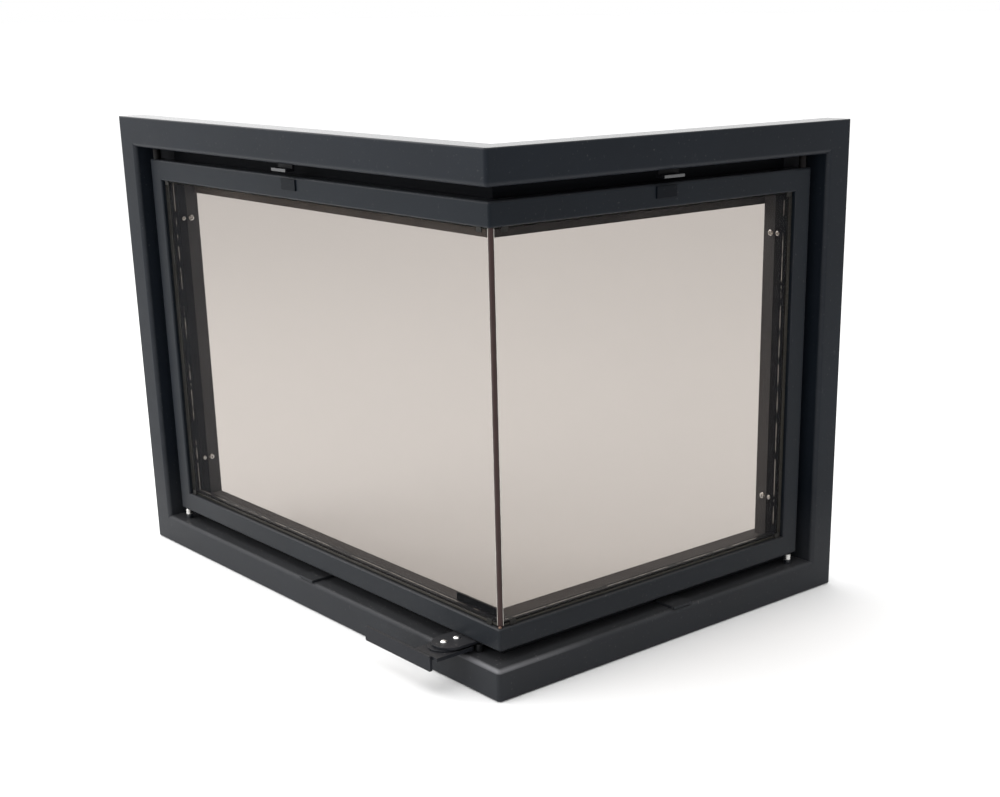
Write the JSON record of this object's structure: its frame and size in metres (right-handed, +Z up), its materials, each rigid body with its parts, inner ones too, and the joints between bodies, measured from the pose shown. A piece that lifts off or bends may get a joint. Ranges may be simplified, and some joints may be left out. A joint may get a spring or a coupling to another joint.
{
  "type": "fireplace glass door",
  "caption": "Two-sided corner fireplace door: an L-shaped steel casing round one L-shaped leaf with glass on both sides, which swings out on end pins and is held by a small lever latch.",
  "frame": {"origin": "on the underside, where the centre lines of the two bottom casing tubes meet, at the outer corner of the L", "axes": "+Z up; the left face looks along -Y and runs towards -X, the right face looks along +X and runs towards +Y"},
  "size_m": [0.72, 0.55, 0.54],
  "materials": {
    "casing_paint": "satin black heat-resistant paint",
    "leaf_paint": "satin black heat-resistant paint",
    "liner_paint": "matt heat-resistant paint, dusty",
    "handle_paint": "satin black heat-resistant paint",
    "guide_steel": "painted sheet, worn to bare steel on its edge",
    "bright_steel": "turned bare steel",
    "zinc_plate": "zinc plated",
    "glass": "clear heat-resistant glass, slightly hazy",
    "silicone": "brown high-temperature silicone",
    "glass_fibre_seal": "woven glass-fibre tape, charcoal"
  },
  "bodies": {
    "casing": {"casing_top_rail_left": "casing_paint", "casing_top_rail_right": "casing_paint", "casing_bottom_rail_left": "casing_paint", "casing_bottom_rail_right": "casing_paint", "casing_stile_left": "casing_paint", "casing_stile_right": "casing_paint", "stop_bar_top_left": "casing_paint", "stop_bar_top_right": "casing_paint", "stop_bar_bottom_left": "casing_paint", "stop_bar_bottom_right": "casing_paint", "stop_bar_end_left": "casing_paint", "stop_bar_end_right": "casing_paint", "jamb_plate_left": "liner_paint", "jamb_plate_right": "liner_paint", "sill_plate_left": "liner_paint", "sill_plate_right": "liner_paint", "soffit_plate_left": "liner_paint", "soffit_plate_right": "liner_paint", "air_deflector_left": "liner_paint", "air_deflector_right": "liner_paint", "guide_tab_top_left": "guide_steel", "guide_tab_top_right": "guide_steel", "guide_tab_bottom_left": "guide_steel", "guide_tab_bottom_right": "guide_steel", "hinge_pin_lower": "bright_steel", "hinge_pin_upper": "bright_steel", "rest_stud_lower": "bright_steel", "rest_stud_upper": "bright_steel", "latch_keeper_stud": "bright_steel", "jamb_bolts": "zinc_plate", "jamb_nuts": "zinc_plate", "stop_screws": "zinc_plate"},
    "leaf": {"leaf_top_rail_left": "leaf_paint", "leaf_top_rail_right": "leaf_paint", "leaf_bottom_rail_left": "leaf_paint", "leaf_bottom_rail_right": "leaf_paint", "leaf_stile_left": "leaf_paint", "leaf_stile_right": "leaf_paint", "hinge_block_lower": "leaf_paint", "hinge_block_upper": "leaf_paint", "rest_block_lower": "leaf_paint", "rest_block_upper": "leaf_paint", "glass_left": "glass", "glass_right": "glass", "glass_corner_seal": "silicone", "glazing_strips_left": "leaf_paint", "glazing_strips_right": "leaf_paint", "glazing_rope_left": "glass_fibre_seal", "glazing_rope_right": "glass_fibre_seal", "leaf_seal_tape": "glass_fibre_seal", "glass_clips": "bright_steel", "corner_plate": "leaf_paint", "wear_plates": "leaf_paint", "latch_bracket": "handle_paint", "latch_stop_rivet": "bright_steel"},
    "handle": {"handle_arm": "handle_paint", "handle_grip_plate": "handle_paint", "handle_pivot_rivet": "bright_steel", "handle_friction_washer": "handle_paint"}
  },
  "joints": [
    {"name": "leaf_swing", "type": "hinge", "parent": "casing", "child": "leaf", "pos_m": [-0.6425, -0.0015, 0.0475], "axis": [0, 0, -1], "range_deg": [0, 110]},
    {"name": "handle_turn", "type": "hinge", "parent": "leaf", "child": "handle", "pos_m": [-0.0555, -0.0295, 0.0426], "axis": [0, 0, 1], "range_deg": [-15, 25]}
  ]
}
